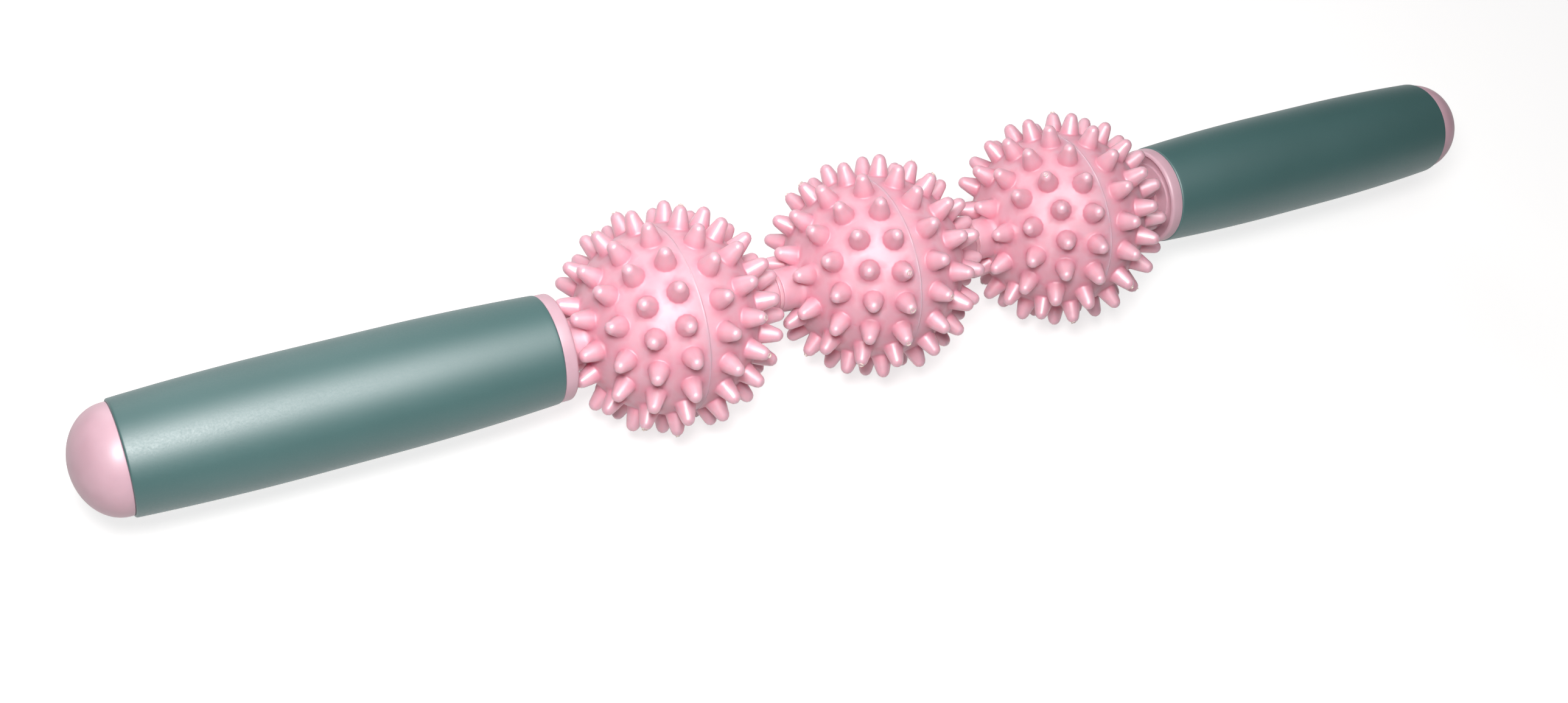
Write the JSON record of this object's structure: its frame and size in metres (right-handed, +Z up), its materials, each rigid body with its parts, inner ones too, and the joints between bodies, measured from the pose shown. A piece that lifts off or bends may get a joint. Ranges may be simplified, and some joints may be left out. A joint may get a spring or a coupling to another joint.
{
  "type": "massage roller stick",
  "caption": "Hand-held massage roller stick: soft gripped handles joined by a steel axle, with hollow spiked balls that spin on it.",
  "frame": {"origin": "middle of the axle, at the centre of the middle ball", "axes": "+X along the stick towards the right handle, +Z up as it lies on the spikes of its balls"},
  "size_m": [0.4096, 0.058, 0.058],
  "materials": {
    "ball": "soft glossy moulded vinyl",
    "grip": "satin soft-touch",
    "handle": "satin moulded plastic",
    "hub": "natural moulded plastic",
    "thrust_washer": "natural moulded plastic",
    "plug": "natural moulded plastic",
    "steel": "plain bright steel"
  },
  "bodies": {
    "stick": {"axle_rod": "steel", "roller_washer_1_2": "thrust_washer", "roller_washer_2_3": "thrust_washer", "left_seat_washer": "thrust_washer", "right_seat_washer": "thrust_washer", "left_handle_core": "handle", "right_handle_core": "handle", "left_grip_sleeve": "grip", "right_grip_sleeve": "grip", "left_end_plug": "plug", "right_end_plug": "plug", "left_washer": "steel", "right_washer": "steel", "left_lock_nut": "steel", "right_lock_nut": "steel", "left_end_cap": "handle", "right_end_cap": "handle"},
    "roller_1": {"roller_1_left_shell": "ball", "roller_1_right_shell": "ball", "roller_1_hub": "hub"},
    "roller_2": {"roller_2_left_shell": "ball", "roller_2_right_shell": "ball", "roller_2_hub": "hub"},
    "roller_3": {"roller_3_left_shell": "ball", "roller_3_right_shell": "ball", "roller_3_hub": "hub"}
  },
  "joints": [
    {"name": "roller_1_spin", "type": "hinge", "parent": "stick", "child": "roller_1", "pos_m": [-0.06, 0, 0], "axis": [1, 0, 0], "continuous": true},
    {"name": "roller_2_spin", "type": "hinge", "parent": "stick", "child": "roller_2", "pos_m": [0, 0, 0], "axis": [1, 0, 0], "continuous": true},
    {"name": "roller_3_spin", "type": "hinge", "parent": "stick", "child": "roller_3", "pos_m": [0.06, 0, 0], "axis": [1, 0, 0], "continuous": true}
  ]
}
